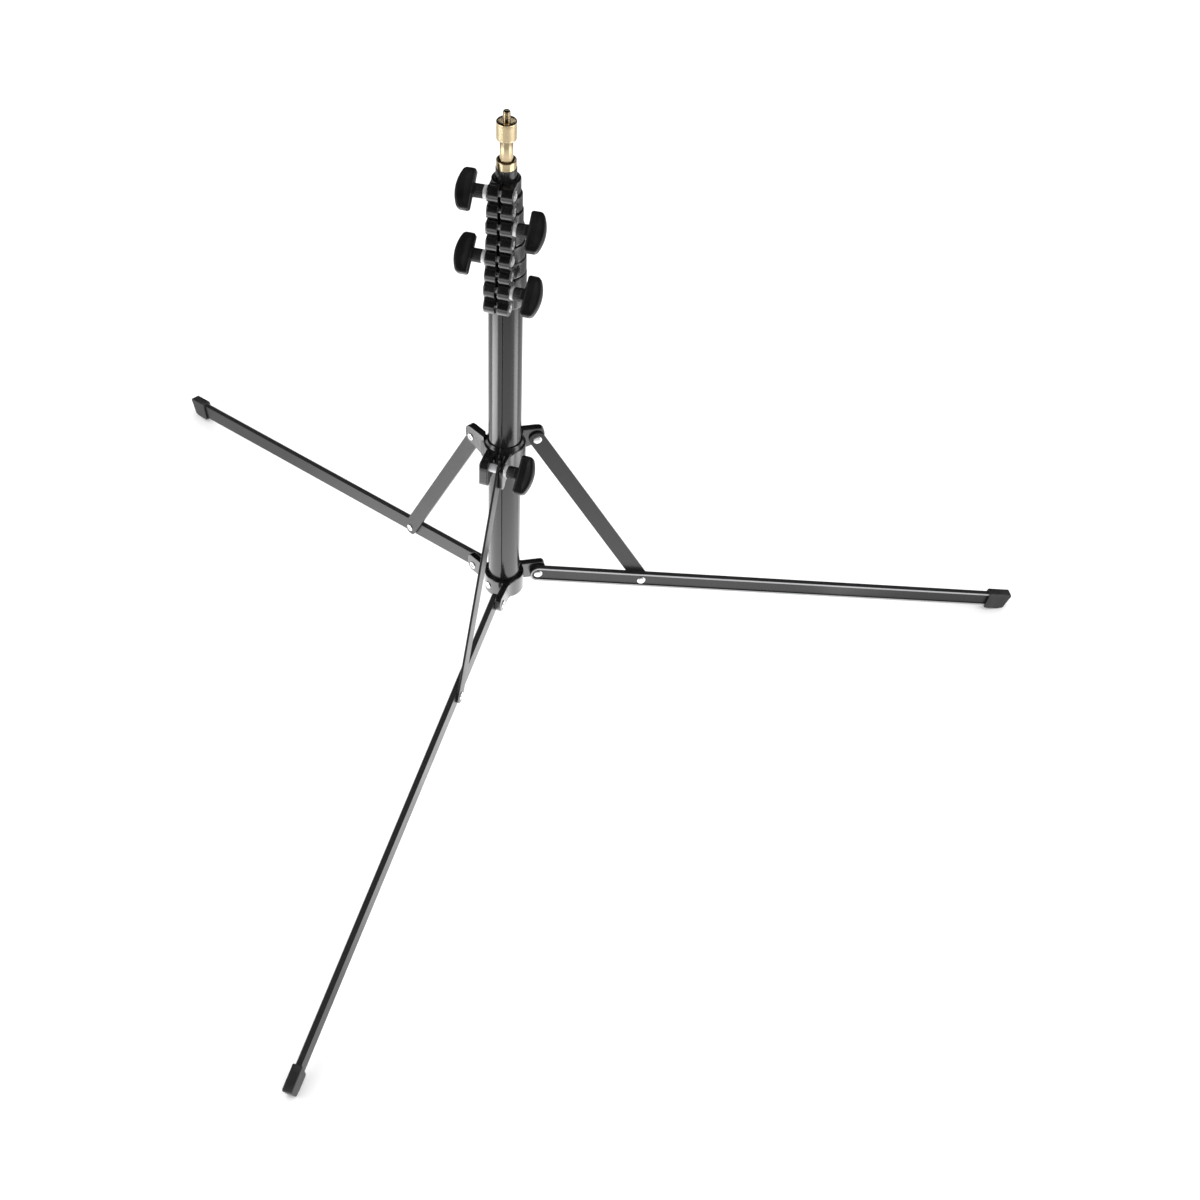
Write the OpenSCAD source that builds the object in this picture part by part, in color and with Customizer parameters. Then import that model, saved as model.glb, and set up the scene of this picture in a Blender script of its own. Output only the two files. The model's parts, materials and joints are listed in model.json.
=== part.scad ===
// Compact five-section lighting stand with a reverse-folding tripod.
// Origin: on the floor, on the axis of the column. +Z is up, the front leg points along -Y.
// Every joint axis lies where the pieces below say it does.

/* [Column] */
// Outside diameter of the fixed column tube
tube_d = 28; // [27:0.5:29]
// Step in diameter from each tube to the next one inside it
tube_step = 2.8; // [2.7:0.05:2.9]
// Wall of every tube
tube_wall = 1.1; // [0.9:0.1:1.1]
// Height of the bottom end of the column above the floor
column_foot_z = 110; // [109:0.5:111]
// Angle of the keying groove from the front leg
groove_turn = 9; // [0:1:15]

/* [Locking collars] */
// Height of the underside of the lowest collar
collar_z = 428; // [428:0.5:430]
// Height of one clamping band, two bands to a collar
band_h = 14.5; // [14:0.1:14.5]
// Width of the clamping ears, across the slit
ear_w = 21; // [20:0.5:22]
// Width of the slit in the ears
slit_w = 2.2; // [1.5:0.1:3]

/* [Knobs] */
// Length of a knob's wing
wing_len = 33; // [30:1:36]
// Thickness of a knob's wing
wing_t = 8.5; // [7:0.5:10]
// Lean of the parked wings from upright
wing_lean = 50; // [30:5:70]

/* [Spigot] */
// Diameter of the spigot (standard 5/8 inch lighting stud)
spigot_d = 15.9; // [15.5:0.1:16]
// Height of the top of the threaded tip above the floor
top_z = 601; // [598:1:606]

/* [Legs] */
// Height of the leg pivots above the floor
hub_z = 117.8; // [117.8:0.1:118.2]
// Slope of a spread leg
leg_slope = 13.4; // [13.4:0.05:13.5]
// Length from the leg pivot to the lower corner of the foot
leg_len = 476; // [476:0.5:478]
// Thickness of the leg bar
leg_h = 14; // [13:0.5:14.5]
// Height of the leg bar
leg_t = 5.2; // [5:0.1:5.4]

/* [Hidden] */
$fn = 96;

e = 0.02;
run_gap = 0.08;            // radial running clearance
pin_gap = 0.05;            // radial clearance round a hinge pin
function tube_r(i) = (tube_d - tube_step * (i - 1)) / 2;
function bore_r(i) = tube_r(i) - tube_wall;
collar_h = 2 * band_h;
function col_z(i) = collar_z + (i - 1) * collar_h;      // underside of collar i
spigot_z0 = 551.5;         // the spigot's shoulder sits on the end of the top riser
function tube_top(i) = i == 5 ? spigot_z0 : col_z(i) + band_h;
// each guide ring sits just above the one outside it
function guide_z(i) = column_foot_z + 11 + (i - 2) * 14;
function tube_foot(i) = i == 1 ? column_foot_z : guide_z(i) + 3;

// ring radii of the upper and lower bands, and how far their ears reach
ring_up = [16.8, 15.5, 13.8, 11.7];
ring_lo = [17.5, 16.5, 14.7, 13.0];
ear_up = [27.2, 25.8, 24.2, 22.4];
ear_lo = [27.8, 26.4, 25.0, 23.2];
turn = [2, 3.5, 5, 5.5];
knob_side = [1, -1, 1, -1];
boss_r = band_h / 2 - 0.2;

// leg frame: x outwards, y anticlockwise seen from above
hub_r = 31.25;
azimuth = [270, 30, 150];
spider_r = 29.2;
spider_z = 272;
brace_r = 127.8;
brace_z = 94;
brace_len = sqrt(pow(brace_r - spider_r, 2) + pow(spider_z - brace_z, 2));
brace_a = atan2(brace_z - spider_z, brace_r - spider_r);
// leg bar, with a shallow recess down its open side, runs from leg_w0 to leg_w1, then brace, then lug
leg_w0 = -0.6;
leg_w1 = leg_w0 + leg_t;
web_t = 4.0;
brace_w0 = leg_w1 + 0.2;
brace_w1 = brace_w0 + 2.1;
lug_w1 = 10.5;
side_lug_w1 = 13.5;        // outer face of the spider's two side lugs
// place of the brace pivot along and across the leg
bp_u = (brace_r - hub_r) * cos(leg_slope) - (brace_z - hub_z) * sin(leg_slope);
bp_v = (brace_r - hub_r) * sin(leg_slope) + (brace_z - hub_z) * cos(leg_slope);

black = [0.05, 0.05, 0.055];
castc = [0.09, 0.09, 0.095];
anod = [0.20, 0.20, 0.21];
tubec = [0.13, 0.13, 0.14];
steel = [0.75, 0.75, 0.76];
brass = [0.80, 0.62, 0.30];
rubber = [0.07, 0.07, 0.07];

// cylinder between two heights, with broken edges
module drum(r, z0, z1, c = 0.6)
  rotate_extrude() polygon([[0, z0], [r - c, z0], [r, z0 + c], [r, z1 - c], [r - c, z1], [0, z1]]);

// rod along X from x0 to x1
module xrod(r, x0, x1) translate([x0, 0, 0]) rotate([0, 90, 0]) cylinder(r = r, h = x1 - x0);

// rod along Y from y0 to y1
module yrod(r, y0, y1) translate([0, y1, 0]) rotate([90, 0, 0]) cylinder(r = r, h = y1 - y0);

// plate in the XZ plane between two y values
module yplate(y0, y1) translate([0, y1, 0]) rotate([90, 0, 0]) linear_extrude(height = y1 - y0) children();

module rsquare(w, h, r) {
  square([w, h - 2 * r], center = true);
  square([w - 2 * r, h], center = true);
  for (sx = [-1, 1], sy = [-1, 1]) translate([sx * (w / 2 - r), sy * (h / 2 - r)]) circle(r, $fn = 48);
}

// ---------- tubes ----------
module tube(i) {
  r = tube_r(i);
  z0 = tube_foot(i);
  z1 = tube_top(i);
  difference() {
    translate([0, 0, z0]) cylinder(r = r, h = z1 - z0);
    translate([0, 0, z0 - 1]) cylinder(r = bore_r(i), h = z1 - z0 + 2);
    rotate([0, 0, 270 + groove_turn]) translate([0, 0, z0 - 1]) linear_extrude(height = z1 - z0 + 2)
      polygon([[r - 0.65, 0], [r + 0.6, -1.45], [r + 0.6, 1.45]]);
    if (i == 5) translate([0, 0, 526]) xrod(1.5, -10, 10);
  }
}
module base_tube() color(tubec) tube(1);
module riser_2_tube() color(tubec) tube(2);
module riser_3_tube() color(tubec) tube(3);
module riser_4_tube() color(tubec) tube(4);
module riser_5_tube() color(tubec) tube(5);

// plug that closes the bottom of the fixed tube
module base_plug() color(black) difference() {
  union() {
    drum(tube_r(1), column_foot_z - 2, column_foot_z, 0.5);
    translate([0, 0, column_foot_z - e]) cylinder(r = bore_r(1), h = 9);
  }
  translate([0, 0, column_foot_z]) cylinder(r = bore_r(1) - 2, h = 12);
  translate([0, 0, column_foot_z - 4]) cylinder(r = 3, h = 12);
}

// plastic ring that guides the foot of a riser inside the next tube out
module guide(i) difference() {
  union() {
    drum(bore_r(i - 1) - run_gap, guide_z(i), guide_z(i) + 3, 0.4);
    translate([0, 0, guide_z(i) + 2]) cylinder(r = bore_r(i), h = 10);
  }
  translate([0, 0, guide_z(i) - 1]) cylinder(r = bore_r(i) - 1.5, h = 15);
}
module riser_2_guide() color("dimgray") guide(2);
module riser_3_guide() color("dimgray") guide(3);
module riser_4_guide() color("dimgray") guide(4);
module riser_5_guide() color("dimgray") guide(5);

// ---------- collars ----------
function bolt_y(i, up) = -((up ? ear_up[i - 1] : ear_lo[i - 1]) - boss_r);
function band_mid(i, up) = col_z(i) + (up ? 1.5 : 0.5) * band_h;

// one band of a collar: ring, neck and knuckled ears
module band(i, up) {
  z0 = col_z(i) + (up ? band_h : 0);
  rr = up ? ring_up[i - 1] : ring_lo[i - 1];
  by = bolt_y(i, up);
  drum(rr, z0 + 0.2, z0 + band_h - 0.2, up && i == 4 ? 1.6 : 0.7);
  translate([-ear_w / 2, by, z0 + 1.2]) cube([ear_w, -by, band_h - 2.4]);
  translate([0, by, z0 + band_h / 2]) difference() {
    xrod(boss_r, -ear_w / 2, ear_w / 2);
    for (s = [-1, 1]) translate([s * ear_w / 2, 0, 0]) rotate([0, 90, 0])
      rotate_extrude() polygon([[boss_r - 0.8, -s * e], [boss_r + 1, -s * e], [boss_r + 1, -s * 1.8]]);
  }
}
module hexprism(af, x0, x1) translate([x0, 0, 0]) rotate([0, 90, 0]) cylinder(r = af / sqrt(3), h = x1 - x0, $fn = 6);

module collar(i) rotate([0, 0, turn[i - 1]]) difference() {
  union() {
    band(i, false);
    band(i, true);
    // recessed web that joins the two bands
    translate([0, 0, col_z(i) + band_h - 1]) cylinder(r = ring_up[i - 1] - 1.4, h = 2);
    translate([-ear_w / 2 + 1.5, bolt_y(i, true) + 2, col_z(i) + band_h - 1.5]) cube([ear_w - 3, -bolt_y(i, true) - 2, 3]);
  }
  // recess under the lowest collar that clears the spider's cone
  if (i == 1) rotate_extrude() polygon([[0, collar_z - 1], [16.8, collar_z - 1], [16.8, collar_z], [15.15, collar_z + 3.2], [0, collar_z + 3.2]]);
  // seat on its own tube below, running bore round the riser above
  translate([0, 0, col_z(i) - 1]) cylinder(r = tube_r(i), h = band_h + 1);
  translate([0, 0, col_z(i) + band_h - 0.5]) cylinder(r = tube_r(i + 1) + run_gap, h = band_h + 2);
  // slit through both pairs of ears
  translate([-slit_w / 2, -40, col_z(i) - 1]) cube([slit_w, 40, collar_h + 2]);
  // clamp bolt hole and nut pocket
  translate([0, bolt_y(i, true), band_mid(i, true)]) {
    xrod(2.5 + pin_gap, -20, 20);
    s = -knob_side[i - 1];
    hexprism(8, s > 0 ? ear_w / 2 - 3 : -ear_w / 2 - 5, s > 0 ? ear_w / 2 + 5 : -ear_w / 2 + 3);
  }
  // pinch screw hole, counterbored on the right
  translate([0, bolt_y(i, false), band_mid(i, false)]) {
    xrod(2, -ear_w / 2 + 3, 20);
    xrod(3.6, ear_w / 2 - 2, 20);
  }
}
module collar_1() color(castc) collar(1);
module collar_2() color(castc) collar(2);
module collar_3() color(castc) collar(3);
module collar_4() color(castc) collar(4);

module pinch_screw(i) rotate([0, 0, turn[i - 1]]) translate([0, bolt_y(i, false), band_mid(i, false)])
  difference() {
    union() {
      xrod(2, -ear_w / 2 + 3.5, ear_w / 2 - 1);
      xrod(3.5, ear_w / 2 - 2, ear_w / 2 + 0.6);
    }
    hexprism(3, ear_w / 2 - 1, ear_w / 2 + 2);
  }
module collar_1_pinch_screw() color(steel) pinch_screw(1);
module collar_2_pinch_screw() color(steel) pinch_screw(2);
module collar_3_pinch_screw() color(steel) pinch_screw(3);
module collar_4_pinch_screw() color(steel) pinch_screw(4);

module clamp_nut(i) rotate([0, 0, turn[i - 1]]) translate([0, bolt_y(i, true), band_mid(i, true)]) {
  s = -knob_side[i - 1];
  difference() {
    hexprism(7.9, s > 0 ? ear_w / 2 - 3 : -ear_w / 2 - 0.8, s > 0 ? ear_w / 2 + 0.8 : -ear_w / 2 + 3);
    xrod(2.5 + pin_gap, -20, 20);
  }
}
module collar_1_nut() color(steel) clamp_nut(1);
module collar_2_nut() color(steel) clamp_nut(2);
module collar_3_nut() color(steel) clamp_nut(3);
module collar_4_nut() color(steel) clamp_nut(4);

// ---------- knobs, drawn for the right-hand side with the bolt along X ----------
bow = 4.5;
bow_r = (pow(wing_len / 2, 2) + bow * bow) / (2 * bow);
wing_x0 = ear_w / 2 + 11.5;
wing_x1 = ear_w / 2 + 25.5;
module grip_shape() difference() {
  union() {
    rotate([-wing_lean, 0, 0]) rotate([90, 0, 0]) linear_extrude(height = wing_t, center = true) intersection() {
      translate([wing_x1 - bow_r, 0]) circle(bow_r);
      translate([(wing_x0 + wing_x1) / 2, 0]) rsquare(wing_x1 - wing_x0, wing_len, 2.5);
    }
    xrod(5.7, ear_w / 2 + 3, wing_x0 + 3);
  }
  xrod(2.5, 0, ear_w / 2 + 14);
}
module bolt_shape(reach) {
  xrod(2.5, -reach, ear_w / 2 + 14);
  xrod(5.6, ear_w / 2 + 0.15, ear_w / 2 + 3);
}
module at_knob(i) {
  if (i == 5) translate([0, -spider_r, spider_z]) children();
  else rotate([0, 0, turn[i - 1]]) translate([0, bolt_y(i, true), band_mid(i, true)])
    mirror([knob_side[i - 1] < 0 ? 1 : 0, 0, 0]) children();
}
module knob_1_grip() color(black) at_knob(1) grip_shape();
module knob_2_grip() color(black) at_knob(2) grip_shape();
module knob_3_grip() color(black) at_knob(3) grip_shape();
module knob_4_grip() color(black) at_knob(4) grip_shape();
module knob_5_grip() color(black) at_knob(5) grip_shape();
module knob_1_bolt() color(steel) at_knob(1) bolt_shape(ear_w / 2 + 1.5);
module knob_2_bolt() color(steel) at_knob(2) bolt_shape(ear_w / 2 + 1.5);
module knob_3_bolt() color(steel) at_knob(3) bolt_shape(ear_w / 2 + 1.5);
module knob_4_bolt() color(steel) at_knob(4) bolt_shape(ear_w / 2 + 1.5);
module knob_5_bolt() color(steel) at_knob(5) bolt_shape(ear_w / 2 + 1.5);

// ---------- spigot ----------
base_top = 558.8;
ring_z0 = 576.5;
ring_z1 = 592.5;
module spigot() color(brass) difference() {
  rotate_extrude() polygon([[0, 508], [bore_r(5) - 0.5, 508], [bore_r(5), 508.5], [bore_r(5), spigot_z0],
    [spigot_d / 2, spigot_z0], [spigot_d / 2, base_top - 0.8], [spigot_d / 2 - 0.8, base_top], [5.2, base_top],
    [5.2, ring_z1], [0, ring_z1]]);
  translate([0, 0, 526]) xrod(1.5, -12, 12);
  translate([0, 0, ring_z1 - 12]) cylinder(r = 2.6, h = 14);
}
module spigot_knurled_ring() color(brass) difference() {
  drum(spigot_d / 2, ring_z0, ring_z1, 0.7);
  translate([0, 0, ring_z0 - 1]) cylinder(r = 5.2, h = ring_z1 - ring_z0 + 2);
}
module top_stud() color(brass) union() {
  translate([0, 0, ring_z1 - 12]) cylinder(r = 2.6, h = 12 + e);
  drum(3, ring_z1, top_z, 0.8);
}
module spigot_pin() color(steel) translate([0, 0, 526]) xrod(1.5, -tube_r(5) + 0.2, tube_r(5) - 0.2);

// ---------- hub ----------
module in_leg(k) rotate([0, 0, azimuth[k]]) children();
// web that flows from the outer face of a lug into the ring, its face hollowed to radius rf
module flow(ring, face, rf, z0, z1) {
  xc = sqrt(pow(ring + rf, 2) - pow(face + rf, 2));
  t = ring / (ring + rf);
  translate([0, 0, z0]) linear_extrude(height = z1 - z0) difference() {
    polygon([[xc * t * 0.85, face - 3], [xc, face - 3], [xc, face], [xc * t, (face + rf) * t],
      [xc * t * 0.85, (face + rf) * t * 0.85]]);
    translate([xc, face + rf]) circle(rf);
  }
}
module leg_hub() color(castc) difference() {
  union() {
    drum(17.5, column_foot_z, column_foot_z + 19, 0.8);
    for (k = [0:2]) in_leg(k) {
      yplate(brace_w0, lug_w1) {
        translate([hub_r, hub_z]) circle(7);
        translate([hub_r + 2.2, hub_z + 5.6]) circle(4.8);
        polygon([[8, column_foot_z + 1], [hub_r, hub_z - 7], [hub_r + 7, hub_z], [hub_r + 7, hub_z + 5.6],
          [hub_r + 2.2, hub_z + 10.4], [8, hub_z + 10.4]]);
      }
      flow(17.5, lug_w1, 14, column_foot_z + 2, hub_z + 9.8);
    }
  }
  translate([0, 0, column_foot_z - 1]) cylinder(r = tube_r(1), h = 30);
  for (k = [0:2]) in_leg(k) translate([hub_r, 0, hub_z]) yrod(2.5, 0, 20);
  // casting seam, as a shallow line down the ring
  rotate([0, 0, 323]) translate([17.1, -0.3, column_foot_z - 1]) cube([2, 0.6, 30]);
  rotate([0, 0, 236]) translate([0, 0, column_foot_z + 9.5]) {
    xrod(2, 10, 20);
    // flat seat under the rivet's head
    xrod(3.75, 17.1, 20);
  }
}
module hub_rivets() color(steel) for (k = [0:2]) in_leg(k) translate([hub_r, 0, hub_z]) {
  yrod(2.5, leg_w1 - web_t - 0.6, lug_w1 + 0.3);
  // domed head in the recess of the leg
  translate([0, leg_w1 - web_t - 0.15, 0]) rotate([90, 0, 0])
    rotate_extrude() polygon([[0, 0], [4, 0], [3.7, 0.7], [2.9, 1.25], [1.7, 1.5], [0, 1.55]]);
  // rolled head outside the lug
  difference() {
    yrod(3.4, lug_w1, lug_w1 + 0.9);
    yrod(1.5, lug_w1 + 0.3, lug_w1 + 2);
  }
}
module hub_set_rivet() color(steel) rotate([0, 0, 236]) translate([0, 0, column_foot_z + 9.5]) {
  xrod(2, 14.1, 17.6);
  translate([17.5, 0, 0]) rotate([0, 90, 0])
    rotate_extrude() polygon([[0, -0.4], [3.6, -0.4], [3.6, 0.2], [2.8, 0.8], [1.4, 1.15], [0, 1.2]]);
}

// ---------- sliding spider ----------
module side_lug_profile() {
  translate([spider_r, spider_z]) circle(6.8);
  translate([spider_r + 0.8, spider_z + 4.6]) circle(6);
  polygon([[8, spider_z - 13], [spider_r - 2, spider_z - 6.5], [spider_r, spider_z - 6.8], [spider_r + 6.8, spider_z],
    [spider_r + 6.8, spider_z + 4.6], [spider_r + 0.8, spider_z + 10.6], [8, spider_z + 10.6]]);
}
module prong_profile() {
  translate([31.2, spider_z - 13.7]) circle(4.3);
  translate([27.5, spider_z - 1]) circle(8);
  polygon([[8, spider_z - 12], [27, spider_z - 14.2], [35.5, spider_z - 13.7], [35.5, spider_z - 1], [33, spider_z + 4.6], [27.5, spider_z + 7], [8, spider_z + 7.2]]);
}
module spider() color(castc) difference() {
  union() {
    // ring with a conical shoulder round the tube
    rotate_extrude() polygon([[0, spider_z - 14.5], [17.2, spider_z - 14.5], [18, spider_z - 13.7], [18, spider_z + 6.4],
      [17.2, spider_z + 7.2], [16.65, spider_z + 7.2], [15, spider_z + 10.8], [0, spider_z + 10.8]]);
    for (k = [1:2]) in_leg(k) {
      yplate(brace_w1 + 0.2, side_lug_w1) side_lug_profile();
      flow(18, side_lug_w1, 10, spider_z - 12, spider_z + 5.4);
    }
    // front clevis: two prongs that hang below the ring, and the shoulder between them
    in_leg(0) {
      yplate(-10.5, -3) prong_profile();
      yplate(brace_w1 + 0.2, lug_w1) prong_profile();
      yplate(-3 - e, brace_w1 + 0.2 + e) polygon([[8, spider_z - 12], [21.6, spider_z - 9], [21.6, spider_z + 3], [18.8, spider_z + 7.1], [8, spider_z + 7.1]]);
      flow(18, lug_w1, 12, spider_z - 12, spider_z + 5.4);
    }
  }
  translate([0, 0, spider_z - 20]) cylinder(r = tube_r(1) + run_gap, h = 40);
  // groove that takes the skirt of the lowest collar when the legs are folded
  rotate_extrude() polygon([[16.65, spider_z + 7.2], [17.85, spider_z + 7.2], [17.85, spider_z + 20], [14.98, spider_z + 20], [14.98, spider_z + 10.8]]);
  // slit that lets the front of the ring close on the tube
  translate([-1.2, -40, spider_z - 30]) cube([2.4, 40, 60]);
  // rivet holes at the side lugs, bolt hole through the clevis
  for (k = [1:2]) in_leg(k) translate([spider_r, 0, spider_z]) yrod(2.5, 0, 20);
  translate([0, -spider_r, spider_z]) {
    xrod(2.5 + pin_gap, -20, 20);
    hexprism(8, -20, -10.5 + 3);
  }
}
module spider_nut() color(steel) translate([0, -spider_r, spider_z]) difference() {
  hexprism(7.9, -10.5 - 0.8, -10.5 + 3);
  xrod(2.5 + pin_gap, -20, 20);
}
module clevis_spacer() color(steel) translate([0, -spider_r, spider_z]) difference() {
  xrod(3.6, -3, brace_w0 - 0.1);
  xrod(2.5 + pin_gap, -20, 20);
}
module spider_rivets() color(steel) for (k = [1:2]) in_leg(k) translate([spider_r, 0, spider_z]) {
  yrod(2.5, brace_w0 - 0.6, side_lug_w1 + 0.3);
  translate([0, brace_w0 - 0.15, 0]) rotate([90, 0, 0])
    rotate_extrude() polygon([[0, 0], [4, 0], [3.7, 0.7], [2.9, 1.25], [1.7, 1.5], [0, 1.55]]);
  difference() {
    yrod(3.4, side_lug_w1, side_lug_w1 + 0.9);
    yrod(1.5, side_lug_w1 + 0.3, side_lug_w1 + 2);
  }
}

// ---------- legs: x along the leg, z across it, from the hub pivot ----------
module on_leg(k) in_leg(k) translate([hub_r, 0, hub_z]) rotate([0, leg_slope, 0]) children();
module leg(k) color(anod) on_leg(k) difference() {
  yplate(leg_w0, leg_w1) {
    circle(leg_h / 2);
    translate([0, -leg_h / 2]) square([leg_len - 6, leg_h]);
  }
  // shallow recess down the side of the bar
  yplate(leg_w0 - 1, leg_w1 - web_t) {
    circle(leg_h / 2 - 1.4);
    translate([0, -leg_h / 2 + 1.4]) square([leg_len, leg_h - 2.8]);
  }
  yrod(2.5 + pin_gap, -5, 10);
  translate([bp_u, 0, bp_v]) yrod(2.5, -5, 10);
}
module leg_front() leg(0);
module leg_right() leg(1);
module leg_left() leg(2);

// half of the brace pivot that stays with the leg
module leg_rivet(k) color(steel) on_leg(k) translate([bp_u, 0, bp_v]) {
  yrod(2.5, leg_w1 - web_t - 0.1, leg_w1);
  translate([0, leg_w1 - web_t, 0]) rotate([90, 0, 0])
    rotate_extrude() polygon([[0, 0], [4, 0], [3.7, 0.7], [2.9, 1.25], [1.7, 1.5], [0, 1.55]]);
}
module leg_front_rivet() leg_rivet(0);
module leg_right_rivet() leg_rivet(1);
module leg_left_rivet() leg_rivet(2);

// rubber cap, trimmed flat where it stands on the floor
module foot(k) color(rubber) difference() {
  on_leg(k) difference() {
    yplate(leg_w0 - 1.7, leg_w1 + 1.7)
      polygon([[leg_len - 20, -8.4], [leg_len - 18.8, -9.25], [leg_len - 1.6, -9.25], [leg_len, -8.2],
        [leg_len + 3.6, 7.4], [leg_len + 2.6, 9.25], [leg_len - 18.8, 9.25], [leg_len - 20, 8.4]]);
    translate([leg_len - 22, leg_w0, -leg_h / 2]) cube([16, leg_t, leg_h]);
  }
  translate([-700, -700, -40]) cube([1400, 1400, 40]);
}
module foot_front() foot(0);
module foot_right() foot(1);
module foot_left() foot(2);

// ---------- braces ----------
module on_brace(k) in_leg(k) translate([spider_r, 0, spider_z]) rotate([0, -brace_a, 0]) children();
module brace(k) color(anod) on_brace(k) difference() {
  yplate(brace_w0, brace_w1) {
    circle(7);
    translate([brace_len, 0]) circle(7);
    translate([0, -7]) square([brace_len, 14]);
  }
  yrod(2.5 + pin_gap, -5, 12);
  translate([brace_len, 0, 0]) yrod(2.5, -5, 12);
}
module brace_front() brace(0);
module brace_right() brace(1);
module brace_left() brace(2);

// half of the pivot that stays with the brace
module brace_rivet(k) color(steel) on_brace(k) translate([brace_len, 0, 0]) {
  yrod(2.5, brace_w0 + 0.05, brace_w1 + 0.3);
  difference() {
    yrod(3.4, brace_w1, brace_w1 + 0.9);
    yrod(1.5, brace_w1 + 0.3, brace_w1 + 2);
  }
}
module brace_front_rivet() brace_rivet(0);
module brace_right_rivet() brace_rivet(1);
module brace_left_rivet() brace_rivet(2);

base_tube();
base_plug();
leg_hub();
hub_rivets();
hub_set_rivet();
collar_1();
collar_1_pinch_screw();
collar_1_nut();
riser_2_tube();
riser_2_guide();
collar_2();
collar_2_pinch_screw();
collar_2_nut();
riser_3_tube();
riser_3_guide();
collar_3();
collar_3_pinch_screw();
collar_3_nut();
riser_4_tube();
riser_4_guide();
collar_4();
collar_4_pinch_screw();
collar_4_nut();
riser_5_tube();
riser_5_guide();
spigot();
spigot_knurled_ring();
top_stud();
spigot_pin();
knob_1_grip();
knob_1_bolt();
knob_2_grip();
knob_2_bolt();
knob_3_grip();
knob_3_bolt();
knob_4_grip();
knob_4_bolt();
knob_5_grip();
knob_5_bolt();
spider();
spider_nut();
spider_rivets();
clevis_spacer();
leg_front();
foot_front();
leg_front_rivet();
leg_right();
foot_right();
leg_right_rivet();
leg_left();
foot_left();
leg_left_rivet();
brace_front();
brace_front_rivet();
brace_right();
brace_right_rivet();
brace_left();
brace_left_rivet();
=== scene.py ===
import bpy
import bmesh
import json
import math
from mathutils import Matrix, Vector


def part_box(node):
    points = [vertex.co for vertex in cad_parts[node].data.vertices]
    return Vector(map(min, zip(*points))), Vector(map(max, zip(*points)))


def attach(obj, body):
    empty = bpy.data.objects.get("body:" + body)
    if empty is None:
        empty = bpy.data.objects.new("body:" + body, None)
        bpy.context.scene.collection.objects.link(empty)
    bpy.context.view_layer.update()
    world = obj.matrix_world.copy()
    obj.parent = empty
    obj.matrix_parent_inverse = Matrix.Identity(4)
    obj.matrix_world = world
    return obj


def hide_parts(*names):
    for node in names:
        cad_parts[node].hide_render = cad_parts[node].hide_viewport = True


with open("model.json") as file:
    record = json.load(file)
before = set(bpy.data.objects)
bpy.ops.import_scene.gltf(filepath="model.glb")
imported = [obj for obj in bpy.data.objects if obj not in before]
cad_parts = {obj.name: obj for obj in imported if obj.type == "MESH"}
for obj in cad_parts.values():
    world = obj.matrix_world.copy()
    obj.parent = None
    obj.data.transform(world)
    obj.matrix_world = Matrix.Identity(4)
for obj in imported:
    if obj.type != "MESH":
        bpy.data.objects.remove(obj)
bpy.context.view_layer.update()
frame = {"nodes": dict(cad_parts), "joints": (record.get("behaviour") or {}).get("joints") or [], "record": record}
MM = 0.001
NODES = frame["nodes"]
JOINT = {j["name"]: j for j in frame["joints"]}
COLL = bpy.context.scene.collection
AZ = {"front": 270.0, "right": 30.0, "left": 150.0}


# ------------------------------------------------------------------ materials
def new_mat(name):
    m = bpy.data.materials.new(name)
    m.use_nodes = True
    nt = m.node_tree
    for n in list(nt.nodes):
        nt.nodes.remove(n)
    out = nt.nodes.new("ShaderNodeOutputMaterial")
    bsdf = nt.nodes.new("ShaderNodeBsdfPrincipled")
    nt.links.new(bsdf.outputs["BSDF"], out.inputs["Surface"])
    return m, nt, bsdf


def coords(nt, rot=(0, 0, 0), scale=(1, 1, 1)):
    tc = nt.nodes.new("ShaderNodeTexCoord")
    mp = nt.nodes.new("ShaderNodeMapping")
    mp.inputs["Rotation"].default_value = rot
    mp.inputs["Scale"].default_value = scale
    nt.links.new(tc.outputs["Object"], mp.inputs["Vector"])
    return mp.outputs["Vector"]


def noise(nt, vec, scale, detail=4.0, rough=0.55, dist=0.0):
    n = nt.nodes.new("ShaderNodeTexNoise")
    n.inputs["Scale"].default_value = scale
    n.inputs["Detail"].default_value = detail
    n.inputs["Roughness"].default_value = rough
    n.inputs["Distortion"].default_value = dist
    nt.links.new(vec, n.inputs["Vector"])
    return n.outputs["Fac"]


def remap(nt, fac, lo, hi, a=0.3, b=0.7):
    n = nt.nodes.new("ShaderNodeMapRange")
    n.inputs["From Min"].default_value = a
    n.inputs["From Max"].default_value = b
    n.inputs["To Min"].default_value = lo
    n.inputs["To Max"].default_value = hi
    nt.links.new(fac, n.inputs["Value"])
    return n.outputs["Result"]


def mixcol(nt, fac, a, b):
    n = nt.nodes.new("ShaderNodeMix")
    n.data_type = "RGBA"
    n.blend_type = "MIX"
    if isinstance(fac, (int, float)):
        n.inputs["Factor"].default_value = fac
    else:
        nt.links.new(fac, n.inputs["Factor"])
    for sock, v in ((n.inputs["A"], a), (n.inputs["B"], b)):
        pass
    ia = [s for s in n.inputs if s.name == "A" and s.type == "RGBA"][0]
    ib = [s for s in n.inputs if s.name == "B" and s.type == "RGBA"][0]
    for sock, v in ((ia, a), (ib, b)):
        if isinstance(v, tuple):
            sock.default_value = (*v, 1.0) if len(v) == 3 else v
        else:
            nt.links.new(v, sock)
    return [s for s in n.outputs if s.type == "RGBA"][0]


def add(nt, a, b, op="ADD"):
    n = nt.nodes.new("ShaderNodeMath")
    n.operation = op
    for i, v in enumerate((a, b)):
        if isinstance(v, (int, float)):
            n.inputs[i].default_value = v
        else:
            nt.links.new(v, n.inputs[i])
    return n.outputs[0]


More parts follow.
